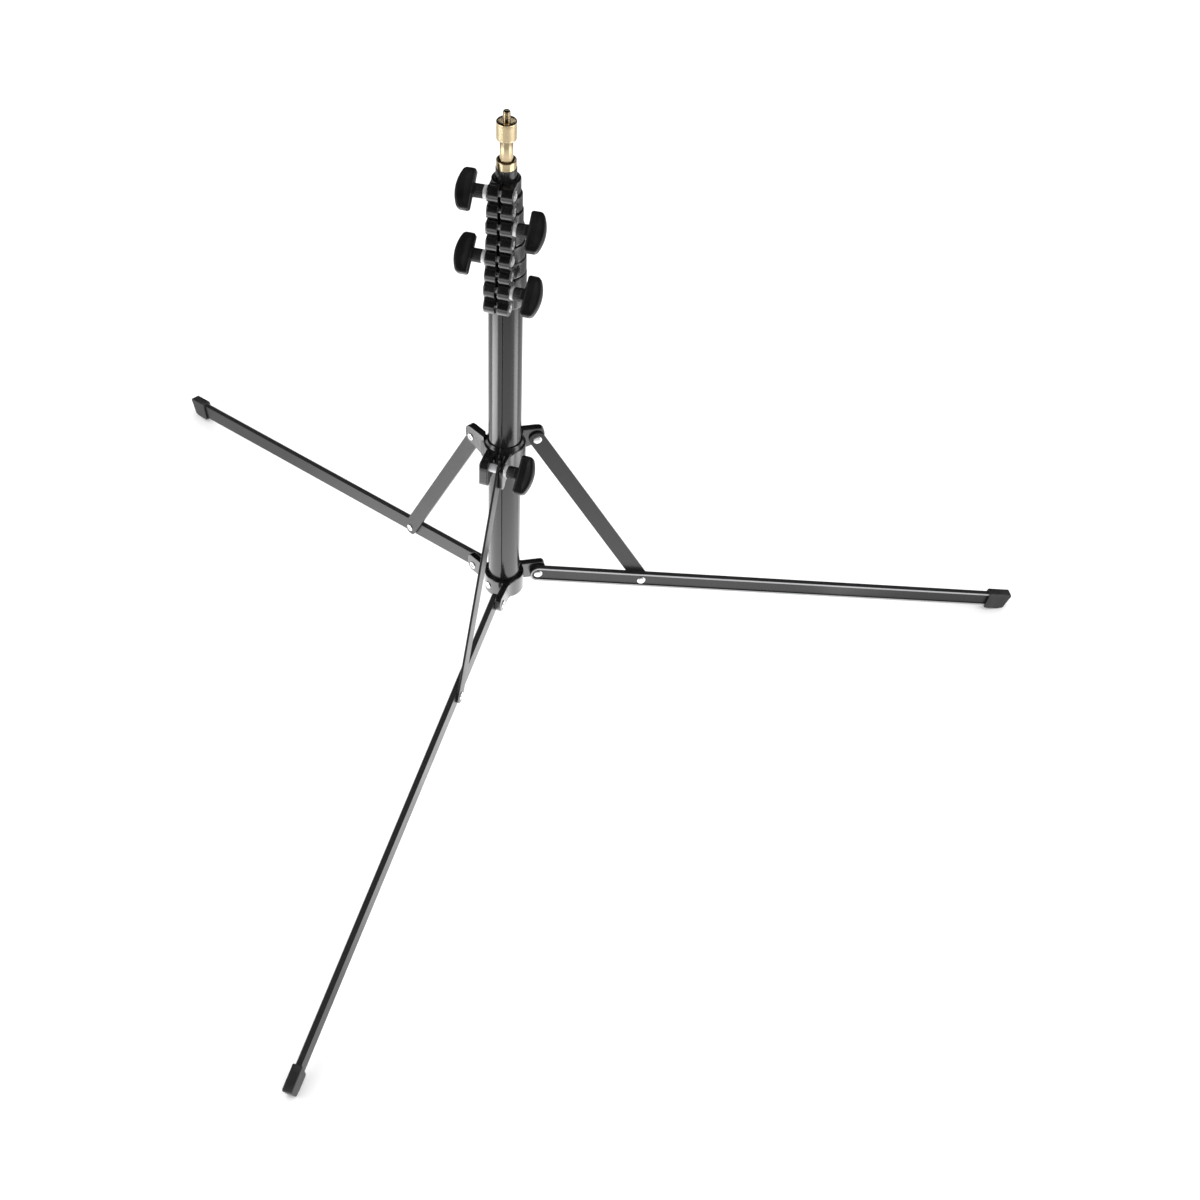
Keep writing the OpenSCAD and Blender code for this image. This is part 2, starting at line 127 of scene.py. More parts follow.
def bump(nt, bsdf, height, strength, dist):
    n = nt.nodes.new("ShaderNodeBump")
    n.inputs["Strength"].default_value = strength
    n.inputs["Distance"].default_value = dist
    nt.links.new(height, n.inputs["Height"])
    nt.links.new(n.outputs["Normal"], bsdf.inputs["Normal"])
    return n


def edge_mask(nt, lo=0.52, hi=0.60):
    g = nt.nodes.new("ShaderNodeNewGeometry")
    return remap(nt, g.outputs["Pointiness"], 0.0, 1.0, lo, hi)


def mat_tube():
    """Gloss black anodised drawn tube: fine die lines along its length."""
    m, nt, b = new_mat("gloss_black_tube")
    lines = noise(nt, coords(nt, scale=(1500, 1500, 4)), 1.0, 3.0, 0.6)
    broad = noise(nt, coords(nt, scale=(320, 320, 1.6)), 1.0, 2.0, 0.5)
    dust = noise(nt, coords(nt), 2600.0, 2.0, 0.5)
    col = mixcol(nt, remap(nt, broad, 0, 1), (0.004, 0.004, 0.0045), (0.010, 0.010, 0.011))
    col = mixcol(nt, remap(nt, lines, 0, 0.4), col, (0.020, 0.020, 0.021))
    nt.links.new(col, b.inputs["Base Color"])
    b.inputs["IOR"].default_value = 1.66
    r = add(nt, remap(nt, lines, 0.13, 0.20), add(nt, remap(nt, dust, -0.01, 0.03), remap(nt, broad, 0.0, 0.05)))
    nt.links.new(r, b.inputs["Roughness"])
    bump(nt, b, add(nt, lines, add(nt, broad, 1.6, "MULTIPLY")), 0.10, 0.00003)
    return m


def mat_cast():
    """Black enamel over die-cast metal: soft orange peel, edges rubbed a little brighter."""
    m, nt, b = new_mat("black_casting")
    peel = noise(nt, coords(nt), 900.0, 3.0, 0.5)
    grain = noise(nt, coords(nt), 3600.0, 2.0, 0.5)
    cloud = noise(nt, coords(nt), 60.0, 3.0, 0.5)
    col = mixcol(nt, remap(nt, cloud, 0, 1), (0.003, 0.003, 0.0033), (0.007, 0.007, 0.0075))
    wear = add(nt, edge_mask(nt, 0.53, 0.62), remap(nt, grain, 0.2, 1.0), "MULTIPLY")
    col = mixcol(nt, add(nt, wear, 0.45, "MULTIPLY"), col, (0.07, 0.07, 0.074))
    nt.links.new(col, b.inputs["Base Color"])
    nt.links.new(add(nt, remap(nt, cloud, 0.17, 0.24), remap(nt, grain, 0.0, 0.06)), b.inputs["Roughness"])
    b.inputs["IOR"].default_value = 1.95
    bump(nt, b, add(nt, peel, add(nt, grain, 0.35, "MULTIPLY")), 0.25, 0.00006)
    return m


def mat_anodised(name, rot, az, lips):
    """Satin dark grey anodised strip, drawn along its own length; the flanges of the open side carry a painted
    highlight.
    """
    m, nt, b = new_mat(name)
    lines = noise(nt, coords(nt, rot=rot, scale=(14, 2200, 2200)), 1.0, 3.0, 0.65)
    grain = noise(nt, coords(nt), 2600.0, 3.0, 0.6)
    cloud = noise(nt, coords(nt), 26.0, 3.0, 0.5)
    col = mixcol(nt, remap(nt, grain, 0, 1), (0.002, 0.002, 0.0022), (0.026, 0.026, 0.027))
    col = mixcol(nt, remap(nt, lines, 0, 0.35), col, (0.026, 0.026, 0.027))
    # painted highlight: the open side of each leg, where its flanges face, lightened to pale grey and streaked with
    # the drawing lines
    if lips:
        sep = nt.nodes.new("ShaderNodeSeparateXYZ")
        nt.links.new(coords(nt, rot=(0, 0, -az)), sep.inputs[0])
        n = nt.nodes.new("ShaderNodeMapRange")
        for key, v in (("From Min", -0.00005), ("From Max", -0.00025), ("To Min", 0.0), ("To Max", 1.0)):
            n.inputs[key].default_value = v
        nt.links.new(sep.outputs["Y"], n.inputs["Value"])
        painted_lip_highlight = add(nt, n.outputs["Result"], remap(nt, lines, 0.65, 1.0), "MULTIPLY")
        col = mixcol(nt, painted_lip_highlight, col, (0.42, 0.42, 0.43))
    nt.links.new(col, b.inputs["Base Color"])
    b.inputs["IOR"].default_value = 1.46
    nt.links.new(add(nt, remap(nt, cloud, 0.24, 0.32), remap(nt, grain, 0.0, 0.12)), b.inputs["Roughness"])
    bump(nt, b, add(nt, lines, add(nt, grain, 0.8, "MULTIPLY")), 0.25, 0.00005)
    return m


def mat_plastic(name, c0, c1, rough, tex_scale, strength, wear=0.35):
    m, nt, b = new_mat(name)
    tex = noise(nt, coords(nt), tex_scale, 3.0, 0.6)
    cloud = noise(nt, coords(nt), 90.0, 3.0, 0.5)
    col = mixcol(nt, remap(nt, cloud, 0, 1), c0, c1)
    w = add(nt, edge_mask(nt, 0.53, 0.60), wear, "MULTIPLY")
    col = mixcol(nt, w, col, tuple(min(1.0, 3.0 * v + 0.015) for v in c1))
    nt.links.new(col, b.inputs["Base Color"])
    nt.links.new(add(nt, remap(nt, cloud, rough - 0.04, rough + 0.06), remap(nt, tex, -0.03, 0.05)), b.inputs["Roughness"])
    bump(nt, b, tex, strength, 0.00008)
    return m


def mat_metal(name, c0, c1, rough, fine=2600.0, strength=0.12, metal=1.0):
    m, nt, b = new_mat(name)
    fine_n = noise(nt, coords(nt), fine, 3.0, 0.6)
    cloud = noise(nt, coords(nt), 240.0, 3.0, 0.55)
    col = mixcol(nt, remap(nt, cloud, 0, 1), c0, c1)
    nt.links.new(col, b.inputs["Base Color"])
    b.inputs["Metallic"].default_value = metal
    nt.links.new(add(nt, remap(nt, cloud, rough - 0.04, rough + 0.06), remap(nt, fine_n, -0.02, 0.05)), b.inputs["Roughness"])
    bump(nt, b, fine_n, strength, 0.00002)
    return m


def mat_brass():
    """Turned brass: fine circular tool lines; the hollows, such as the band under the knurled head, darkened by
    painted shade and a little tarnish.
    """
    m, nt, b = new_mat("brass")
    turn = noise(nt, coords(nt, scale=(30, 30, 3600)), 1.0, 3.0, 0.6)
    cloud = noise(nt, coords(nt), 180.0, 4.0, 0.6)
    col = mixcol(nt, remap(nt, cloud, 0, 1), (0.64, 0.51, 0.31), (0.76, 0.62, 0.40))
    # painted shade, partly tarnish: concave places (low pointiness), such as the root under the knurled head,
    # darkened towards dark brown
    hollow = nt.nodes.new("ShaderNodeNewGeometry")
    dark = remap(nt, hollow.outputs["Pointiness"], 1.0, 0.0, 0.40, 0.49)
    col = mixcol(nt, add(nt, dark, 0.75, "MULTIPLY"), col, (0.16, 0.09, 0.03))
    nt.links.new(col, b.inputs["Base Color"])
    b.inputs["Metallic"].default_value = 1.0
    nt.links.new(add(nt, remap(nt, cloud, 0.14, 0.24), remap(nt, turn, 0.0, 0.05)), b.inputs["Roughness"])
    bump(nt, b, turn, 0.12, 0.00002)
    return m


M_TUBE = mat_tube()
M_CAST = mat_cast()
M_KNOB = mat_plastic("knob_plastic", (0.004, 0.004, 0.0043), (0.008, 0.008, 0.0085), 0.34, 2600.0, 0.30)
M_NYLON = mat_plastic("black_plastic", (0.010, 0.010, 0.010), (0.020, 0.020, 0.020), 0.5, 1800.0, 0.3)
M_RUBBER = mat_plastic("rubber", (0.010, 0.010, 0.0105), (0.026, 0.026, 0.028), 0.42, 1500.0, 0.45, 0.5)
M_STEEL = mat_metal("nickel_steel", (0.70, 0.70, 0.71), (0.84, 0.84, 0.85), 0.22, metal=0.85)
M_WASHER = mat_metal("washer_steel", (0.58, 0.58, 0.59), (0.74, 0.74, 0.75), 0.34, metal=0.6)
M_BRASS = mat_brass()


# ------------------------------------------------------------------ mesh helpers
def link(name, bm, mat, smooth=30.0):
    me = bpy.data.meshes.new(name)
    bm.normal_update()
    bm.to_mesh(me)
    bm.free()
    ob = bpy.data.objects.new(name, me)
    COLL.objects.link(ob)
    me.materials.append(mat)
    shade(ob, smooth)
    return ob


def shade(ob, angle=30.0):
    """Smooth faces, with edges sharper than the angle kept sharp."""
    me = ob.data
    me.polygons.foreach_set("use_smooth", [True] * len(me.polygons))
    bm = bmesh.new()
    bm.from_mesh(me)
    lim = math.radians(angle)
    for e in bm.edges:
        e.smooth = not (len(e.link_faces) != 2 or e.calc_face_angle(0.0) > lim)
    bm.to_mesh(me)
    bm.free()
    me.update()


def lathe(bm, prof, mat4=Matrix.Identity(4), segs=64):
    """Closed lathe: prof is (r, z) from one end to the other; ends on the axis are closed as fans."""
    rings = []
    for r, z in prof:
        if r < 1e-9:
            rings.append([bm.verts.new(mat4 @ Vector((0, 0, z)))])
        else:
            rings.append([bm.verts.new(mat4 @ Vector((r * math.cos(2 * math.pi * i / segs), r * math.sin(2 * math.pi * i / segs), z))) for i in range(segs)])
    faces = []
    for a, b in zip(rings[:-1], rings[1:]):
        for i in range(segs):
            j = (i + 1) % segs
            if len(a) == 1 and len(b) == 1:
                continue
            if len(a) == 1:
                faces.append(bm.faces.new((a[0], b[i], b[j])))
            elif len(b) == 1:
                faces.append(bm.faces.new((a[i], b[0], a[j])))
            else:
                faces.append(bm.faces.new((a[i], b[i], b[j], a[j])))
    bmesh.ops.recalc_face_normals(bm, faces=faces)
    return faces


def arc(cx, cz, r, a0, a1, n):
    return [(cx + r * math.cos(math.radians(a0 + (a1 - a0) * i / n)), cz + r * math.sin(math.radians(a0 + (a1 - a0) * i / n))) for i in range(n + 1)]


def axis_to(origin, direction):
    """Matrix that takes local +Z to direction, placed at origin."""
    q = Vector((0, 0, 1)).rotation_difference(Vector(direction).normalized())
    return Matrix.Translation(Vector(origin)) @ q.to_matrix().to_4x4()


def cad_bmesh(node):
    bm = bmesh.new()
    bm.from_mesh(NODES[node].data)
    bmesh.ops.remove_doubles(bm, verts=bm.verts, dist=1e-6)
    return bm


def refined(node, mat, width=0.0003, segs=2, name=None, sharp=25.0, smooth=40.0):
    """A copy of a CAD piece with its flat faces merged and its edges broken by a small round."""
    bm = cad_bmesh(node)
    bmesh.ops.dissolve_limit(bm, angle_limit=math.radians(0.6), verts=bm.verts, edges=bm.edges)
    edges = [e for e in bm.edges if len(e.link_faces) == 2 and e.calc_face_angle(0.0) > math.radians(sharp)]
    if width > 0:
        bmesh.ops.bevel(bm, geom=edges, offset=width, offset_type="OFFSET", segments=segs, profile=0.5, affect="EDGES", clamp_overlap=True)
    ngons = [f for f in bm.faces if len(f.verts) > 4]
    bmesh.ops.triangulate(bm, faces=ngons)
    ob = link(name or node + "_finish", bm, mat, smooth)
    wn = ob.modifiers.new("weighted", "WEIGHTED_NORMAL")
    wn.keep_sharp = True
    return ob


def apply_mods(ob):
    dg = bpy.context.evaluated_depsgraph_get()
    ev = ob.evaluated_get(dg)
    me = bpy.data.meshes.new_from_object(ev, depsgraph=dg)
    old = ob.data
    ob.modifiers.clear()
    ob.data = me
    bpy.data.meshes.remove(old)
    return ob


def cast_from(node, mat, voxel=0.00045, passes=6, extra=None, keep=0.35, name=None):
    """A casting: the CAD solid remeshed finely and relaxed, so every edge and inner corner is softly rounded."""
    bm = cad_bmesh(node)
    if extra:
        extra(bm)
    ob = link(name or node + "_cast", bm, mat, 180.0)
    r = ob.modifiers.new("remesh", "REMESH")
    r.mode = "VOXEL"
    r.voxel_size = voxel
    r.adaptivity = 0.0
    apply_mods(ob)
    s = ob.modifiers.new("smooth", "SMOOTH")
    s.factor = 0.5
    s.iterations = passes
    if keep < 1.0:
        d = ob.modifiers.new("decimate", "DECIMATE")
        d.ratio = keep
    apply_mods(ob)
    ob.data.polygons.foreach_set("use_smooth", [True] * len(ob.data.polygons))
    if not ob.data.materials:
        ob.data.materials.append(mat)
    return ob


def stand_for(ob, body, slot, *nodes):
    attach(ob, body)
    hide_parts(*nodes)
    return ob


def joint_pos(name):
    return Vector(JOINT[name]["pos_m"])


def joint_axis(name):
    return Vector(JOINT[name]["axis"]).normalized()


# ------------------------------------------------------------------ tubes and small CAD pieces that keep their shape
for n, ob in NODES.items():
    if n.endswith("_tube"):
        ob.data.materials.clear()
        ob.data.materials.append(M_TUBE)
        shade_ok = True
    elif n.endswith("_guide") or n == "base_plug":
        ob.data.materials.clear()
        ob.data.materials.append(M_NYLON)
    elif n == "spigot_pin":
        ob.data.materials.clear()
        ob.data.materials.append(M_STEEL)

BODY_OF = {n: b for b, ns in frame["record"]["behaviour"]["bodies"].items() for n in ns}

# ------------------------------------------------------------------ castings
for n in ("collar_1", "collar_2", "collar_3", "collar_4"):
    stand_for(cast_from(n, M_CAST, voxel=0.00042, passes=5), BODY_OF[n], "black_casting", n)
for n in ("spider", "leg_hub"):
    stand_for(cast_from(n, M_CAST, voxel=0.00045, passes=6), BODY_OF[n], "black_casting", n)

# ------------------------------------------------------------------ legs and braces
for k, az in AZ.items():
    for n in ("leg_" + k, "brace_" + k):
        a = math.radians(az)
        # mapping turned so that its X runs along the strip
        slope = math.radians(13.4) if n.startswith("leg") else math.radians(61.0)
        rot = Matrix.Rotation(-slope, 3, "Y") @ Matrix.Rotation(-a, 3, "Z")
        m = mat_anodised("anodised_" + n, rot.to_euler(), a, n.startswith("leg"))
        ob = refined(n, m, width=0.0004 if n.startswith("leg") else 0.0005, segs=2)
        stand_for(ob, BODY_OF[n], "dark_anodised", n)
    f = "foot_" + k
    stand_for(cast_from(f, M_RUBBER, voxel=0.0005, passes=7, keep=0.5), BODY_OF[f], "rubber", f)


# ------------------------------------------------------------------ rivets
def domed_head(bm, m, r=4.0, h=1.55):
    prof = [(0.0, -0.4), (r * 0.9, -0.4)]
    prof += [(r, -0.1), (r, 0.12)]
    prof += [(r * math.cos(t), 0.15 + (h - 0.15) * math.sin(t)) for t in [math.radians(90.0 * i / 12) for i in range(1, 12)]]
    prof += [(0.0, h)]
    lathe(bm, [(x * MM, z * MM) for x, z in prof], m, 48)


def rolled_head(bm, m, r=3.4, h=0.9, hole=1.5):
    prof = [(0.0, -0.3), (r * 0.93, -0.3), (r, 0.0)]
    mid = (r + hole) / 2
    half = (r - hole) / 2
    prof += [(mid + half * math.cos(math.radians(t)), h * 0.35 + (h * 0.65) * math.sin(math.radians(t))) for t in range(0, 181, 15)]
    prof += [(hole * 0.92, -0.1), (0.0, -0.15)]
    lathe(bm, [(x * MM, z * MM) for x, z in prof], m, 48)


def shank(bm, m, r, z0, z1):
    lathe(bm, [(0, z0 * MM), (r * MM, z0 * MM), (r * MM, z1 * MM), (0, z1 * MM)], m, 40)


LEG_BACK = 4.6      # anticlockwise face of the leg bar
WEB = 0.6           # floor of the recess in its other side
BRACE0, BRACE1 = 4.8, 6.9
LUG1 = 10.5
SIDE_LUG1 = 13.5


def pivot_frame(k, pos, w):
    """Local +Z along the leg's anticlockwise direction, at offset w (mm) from the leg's own plane."""
    a = math.radians(AZ[k])
    et = Vector((-math.sin(a), math.cos(a), 0))
    return axis_to(pos + et * (w * MM), et), axis_to(pos + et * (w * MM), -et)


bm = bmesh.new()
for k in AZ:
    p = joint_pos("leg_%s_fold" % k)
    out_m, _ = pivot_frame(k, p, LUG1)
    _, in_m = pivot_frame(k, p, WEB)
    rolled_head(bm, out_m)
    domed_head(bm, in_m, 4.0, 1.55)
    shank(bm, pivot_frame(k, p, 0)[0], 2.5, WEB - 0.2, LUG1 + 0.2)
stand_for(link("hub_rivet_set", bm, M_STEEL, 50), "column", "nickel_steel", "hub_rivets")

bm = bmesh.new()
for k in ("right", "left"):
    p = joint_pos("brace_%s_swing" % k)
    out_m, _ = pivot_frame(k, p, SIDE_LUG1)
    _, in_m = pivot_frame(k, p, BRACE0)
    rolled_head(bm, out_m)
    domed_head(bm, in_m, 4.0, 1.55)
    shank(bm, pivot_frame(k, p, 0)[0], 2.5, BRACE0 - 0.2, SIDE_LUG1 + 0.2)
stand_for(link("spider_rivet_set", bm, M_STEEL, 50), "spider", "nickel_steel", "spider_rivets")

for k, az in AZ.items():
    lo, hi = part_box("leg_%s_rivet" % k)
    a = math.radians(az)
    er, et = Vector((math.cos(a), math.sin(a), 0)), Vector((-math.sin(a), math.cos(a), 0))
    p = er * (127.8 * MM) + Vector((0, 0, 94.0 * MM))
    bm = bmesh.new()
    domed_head(bm, pivot_frame(k, p, WEB)[1], 4.0, 1.55)
    shank(bm, pivot_frame(k, p, 0)[0], 2.5, WEB - 0.2, LEG_BACK)
    stand_for(link("leg_%s_rivet_half" % k, bm, M_STEEL, 50), "leg_" + k, "nickel_steel", "leg_%s_rivet" % k)
    bm = bmesh.new()
    rolled_head(bm, pivot_frame(k, p, BRACE1)[0])
    shank(bm, pivot_frame(k, p, 0)[0], 2.5, BRACE0 + 0.05, BRACE1 + 0.2)
    stand_for(link("brace_%s_rivet_half" % k, bm, M_STEEL, 50), "brace_" + k, "nickel_steel", "brace_%s_rivet" % k)

a = math.radians(236)
bm = bmesh.new()
lo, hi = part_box("hub_set_rivet")
mid_z = (lo.z + hi.z) / 2
d = Vector((math.cos(a), math.sin(a), 0))
domed_head(bm, axis_to(d * (17.5 * MM) + Vector((0, 0, mid_z)), d), 3.5, 1.15)
shank(bm, axis_to(Vector((0, 0, mid_z)), d), 2.0, 14.1, 17.6)
stand_for(link("hub_set_rivet_head", bm, M_STEEL, 50), "column", "nickel_steel", "hub_set_rivet")

# ------------------------------------------------------------------ screws, nuts, spacer, bolts
for i in range(1, 5):
    n = "collar_%d_pinch_screw" % i
    stand_for(refined(n, M_STEEL, 0.00025, 2), BODY_OF[n], "nickel_steel", n)
    n = "collar_%d_nut" % i
    stand_for(refined(n, M_STEEL, 0.00025, 2), BODY_OF[n], "nickel_steel", n)
stand_for(refined("spider_nut", M_STEEL, 0.00025, 2), "spider", "nickel_steel", "spider_nut")
stand_for(refined("clevis_spacer", M_WASHER, 0.0003, 2), "spider", "nickel_steel", "clevis_spacer")
for i in range(1, 6):
    n = "knob_%d_bolt" % i
    stand_for(refined(n, M_WASHER, 0.0004, 2), BODY_OF[n], "nickel_steel", n)


# ------------------------------------------------------------------ T-knobs
def d_outline(x0, x1, half, bow_r, rc, n=14):
    """Closed outline of a T-knob wing: straight inner edge, bowed outer edge, rounded corners. (x, t), anticlockwise."""
    cx = x1 - bow_r
    pts = []
    # inner bottom corner, inner edge runs up at x0
    pts += [(x0 + rc + rc * math.cos(math.radians(t)), -half + rc + rc * math.sin(math.radians(t))) for t in [180 + 90 * i / 8 for i in range(9)]]
    # outer bottom corner: circle tangent to the end line and to the bow from inside
    ro = 4.2
    yo = -half + ro
    xo = cx + math.sqrt((bow_r - ro) ** 2 - yo * yo)
    ang = math.degrees(math.atan2(yo, xo - cx))
    pts += [(xo + ro * math.cos(math.radians(t)), yo + ro * math.sin(math.radians(t))) for t in [270 + (ang + 90) * i / 10 for i in range(11)]]
    pts += [(cx + bow_r * math.cos(math.radians(t)), bow_r * math.sin(math.radians(t))) for t in [ang + (-2 * ang) * i / n for i in range(1, n)]]
    pts += [(xo + ro * math.cos(math.radians(t)), -yo + ro * math.sin(math.radians(t))) for t in [-ang + (90 + ang) * i / 10 for i in range(11)]]
    pts += [(x0 + rc + rc * math.cos(math.radians(t)), half - rc + rc * math.sin(math.radians(t))) for t in [90 + 90 * i / 8 for i in range(9)]]
    return pts


def inset(pts, d):
    n = len(pts)
    out = []
    for i in range(n):
        p0, p, p1 = Vector(pts[i - 1]), Vector(pts[i]), Vector(pts[(i + 1) % n])
        t = ((p - p0).normalized() + (p1 - p).normalized()).normalized()
        nrm = Vector((-t.y, t.x))
        out.append((p.x + nrm.x * d, p.y + nrm.y * d))
    return out


def knob_mesh(name):
    """Grip in its own frame: bolt along +X from the ear's plane, wing long way along Y, thickness along Z."""
    bm = bmesh.new()
    ear = 10.5
    x0, x1, half = ear + 11.5, ear + 25.5, 16.5
    bow = 4.5
    bow_r = (half * half + bow * bow) / (2 * bow)
    outer = d_outline(x0, x1, half, bow_r, 2.2)
    ht = 4.25
    er = 2.0
    loops = []
    steps = 6
    # from the middle of the back face up round the edge to the front face
    prof = []
    prof += [(7.2, -ht + 0.55), (5.6, -ht + 0.40), (3.2, -ht + 0.10)]
    prof += [(er - er * math.sin(math.radians(90 * i / steps)), -(ht - er) - er * math.cos(math.radians(90 * i / steps))) for i in range(0, steps + 1)]
    prof += [(er - er * math.cos(math.radians(90 * i / steps)), (ht - er) + er * math.sin(math.radians(90 * i / steps))) for i in range(0, steps + 1)]
    prof += [(3.2, ht - 0.10), (5.6, ht - 0.40), (7.2, ht - 0.55)]
    for ins, z in prof:
        if ins <= 2.05:
            pts = inset(outer, ins)
        else:
            base = inset(outer, 2.0)
            c = Vector(((x0 + x1) / 2 - 0.4, 0))
            wx, wy = (x1 - x0) / 2, half
            sx, sy = max(0.02, (wx - ins) / (wx - 2.0)), max(0.05, (wy - ins) / (wy - 2.0))
            pts = [(c.x + (p[0] - c.x) * sx, c.y + (p[1] - c.y) * sy) for p in base]
        loops.append([bm.verts.new((p[0] * MM, p[1] * MM, z * MM)) for p in pts])
    n = len(outer)
    for a_, b_ in zip(loops[:-1], loops[1:]):
        for i in range(n):
            j = (i + 1) % n
            bm.faces.new((a_[i], a_[j], b_[j], b_[i]))
    bm.faces.new(list(reversed(loops[0])))
    bm.faces.new(loops[-1])
    bmesh.ops.recalc_face_normals(bm, faces=bm.faces)
    # ribbed stem, flaring softly where it meets the wing
    ribs, segs = 20, 160
    m = Matrix.Rotation(math.radians(90), 4, "Y")
    prof = [(4.7, 3.0, 0.0), (5.25, 3.25, 0.0), (5.45, 3.7, 0.25), (5.45, 8.6, 0.25), (5.5, 9.6, 0.15), (5.75, 10.6, 0.0), (6.0, 11.6, 0.0), (6.0, 13.0, 0.0)]
    rings = []
    for r, x, d in prof:
        ring = []
        for i in range(segs):
            t = 2 * math.pi * i / segs
            rr = r + d * abs(math.cos(ribs * t / 2)) - d * 0.4
            rr = min(rr, 5.68) if x < 11 else min(rr, 5.7)
            y, z = rr * math.cos(t), rr * math.sin(t)
            if x > 9.5:
                z = max(-3.9, min(3.9, z))
            ring.append(bm.verts.new(((ear + x) * MM, y * MM, z * MM)))
        rings.append(ring)
    faces = []
    for a_, b_ in zip(rings[:-1], rings[1:]):
        for i in range(segs):
            j = (i + 1) % segs
            faces.append(bm.faces.new((a_[i], a_[j], b_[j], b_[i])))
    faces.append(bm.faces.new(list(reversed(rings[0]))))
    faces.append(bm.faces.new(rings[-1]))
    bmesh.ops.recalc_face_normals(bm, faces=faces)
    # split the caps that have more than four corners into triangles
    bmesh.ops.triangulate(bm, faces=[f for f in bm.faces if len(f.verts) > 4])
    return bm


for i in range(1, 6):
    jn = "knob_%d_turn" % i
    p, ax = joint_pos(jn), joint_axis(jn)
    # local X along the bolt; local Y is the wing's long way, leaning 50 degrees from upright away from the front
    up = Vector((0, 0, 1))
    side = up.cross(ax).normalized()          # horizontal, square to the bolt
    back = side if side.y > 0 else -side
    lean = math.radians(50)
    ly = (up * math.cos(lean) + back * math.sin(lean)).normalized()
    lz = ax.cross(ly).normalized()
    m = Matrix(((ax.x, ly.x, lz.x, p.x), (ax.y, ly.y, lz.y, p.y), (ax.z, ly.z, lz.z, p.z), (0, 0, 0, 1)))
    bm = knob_mesh("k")
    bmesh.ops.transform(bm, matrix=m, verts=bm.verts)
    bmesh.ops.recalc_face_normals(bm, faces=bm.faces)
    ob = link("knob_%d_moulding" % i, bm, M_KNOB, 35)
    stand_for(ob, "knob_%d" % i, "knob_plastic", "knob_%d_grip" % i)


# ------------------------------------------------------------------ spigot
R = 7.95
prof = [(0, 508), (6.9, 508), (7.25, 508.6), (7.25, 551.5), (R - 0.2, 551.5), (R, 551.7), (R, 558.1)]
prof += arc(R - 0.7, 558.1, 0.7, 0, 90, 5)
prof += [(5.9, 558.8), (5.4, 559.1), (5.2, 559.8), (5.2, 575.2), (5.35, 576.1), (5.6, 576.45), (5.2, 576.5), (5.2, 592.3), (0, 592.3)]
bm = bmesh.new()
lathe(bm, [(r * MM, z * MM) for r, z in prof], segs=96)
stand_for(link("spigot_turned", bm, M_BRASS, 40), "riser_5", "brass", "spigot")

# knurled head: crossed fine ridges between two plain lands
bm = bmesh.new()
z0, z1 = 576.5, 592.5
cols = 264
zs, ds = [], []
prof = [(5.2, z0, 0), (7.0, z0, 0), (7.5, z0 + 0.35, 0), (R - 0.15, z0 + 0.8, 0), (R - 0.1, z0 + 1.5, 0)]
body_lo, body_hi = z0 + 1.8, z1 - 1.5
rows = 66
prof += [(R, body_lo + (body_hi - body_lo) * i / rows, 1) for i in range(rows + 1)]
prof += [(R, z1 - 1.3, 0), (R, z1 - 0.5, 0), (7.6, z1 - 0.12, 0), (7.3, z1, 0), (4.3, z1, 0), (3.9, z1 - 0.5, 0), (3.2, z1 - 0.55, 0)]
rings = []
starts = 44
for r, z, k in prof:
    ring = []
    for i in range(cols):
        t = 2 * math.pi * i / cols
        rr = r
        if k:
            u = starts * t
            v = (z - body_lo) * starts / R * 1.15
            ridge = max(abs(math.cos((u + v) / 2)), abs(math.cos((u - v) / 2)))
            ridge = ridge ** 2.0
            fade = min(1.0, (z - body_lo) / 0.5, (body_hi - z) / 0.5)
            rr = R - 0.17 + 0.17 * ridge * max(0.0, fade)
        ring.append(bm.verts.new((rr * math.cos(t) * MM, rr * math.sin(t) * MM, z * MM)))
    rings.append(ring)
faces = []
for a_, b_ in zip(rings[:-1], rings[1:]):
    for i in range(cols):
        j = (i + 1) % cols
        faces.append(bm.faces.new((a_[i], a_[j], b_[j], b_[i])))
for i in range(cols):
    j = (i + 1) % cols
    faces.append(bm.faces.new((rings[-1][i], rings[-1][j], rings[0][j], rings[0][i])))
bmesh.ops.recalc_face_normals(bm, faces=faces)
stand_for(link("spigot_knurl", bm, M_BRASS, 40), "riser_5", "brass", "spigot_knurled_ring")

# threaded tip, 20 threads to the inch
bm = bmesh.new()
pitch = 1.27
seg, r_out, r_in = 48, 3.0, 2.7
zb, zt = 580.6, 601.0
zrows = []
z = 592.0
while z < zt - 0.55:
    zrows.append(z)
    z += pitch / 8
rings = [[bm.verts.new((r_in * math.cos(2 * math.pi * i / seg) * MM, r_in * math.sin(2 * math.pi * i / seg) * MM, zb * MM)) for i in range(seg)]]
for z in zrows:
    ring = []
    for i in range(seg):
        t = i / seg
        ph = ((z / pitch) - t) % 1.0
        tri = 1.0 - abs(2 * ph - 1.0)
        tri = min(1.0, max(0.0, (tri - 0.12) / 0.72))
        end = max(0.0, min(1.0, (zt - 0.6 - z) / 0.8))
        rr = r_in + (r_out - r_in) * tri * end
        ring.append(bm.verts.new((rr * math.cos(2 * math.pi * t) * MM, rr * math.sin(2 * math.pi * t) * MM, z * MM)))
    rings.append(ring)
for r, z in ((2.5, zt - 0.45), (2.35, zt - 0.15), (2.1, zt)):
    rings.append([bm.verts.new((r * math.cos(2 * math.pi * i / seg) * MM, r * math.sin(2 * math.pi * i / seg) * MM, z * MM)) for i in range(seg)])
for a_, b_ in zip(rings[:-1], rings[1:]):
    for i in range(seg):
        j = (i + 1) % seg
        bm.faces.new((a_[i], a_[j], b_[j], b_[i]))
bm.faces.new(list(reversed(rings[0])))
bm.faces.new(rings[-1])
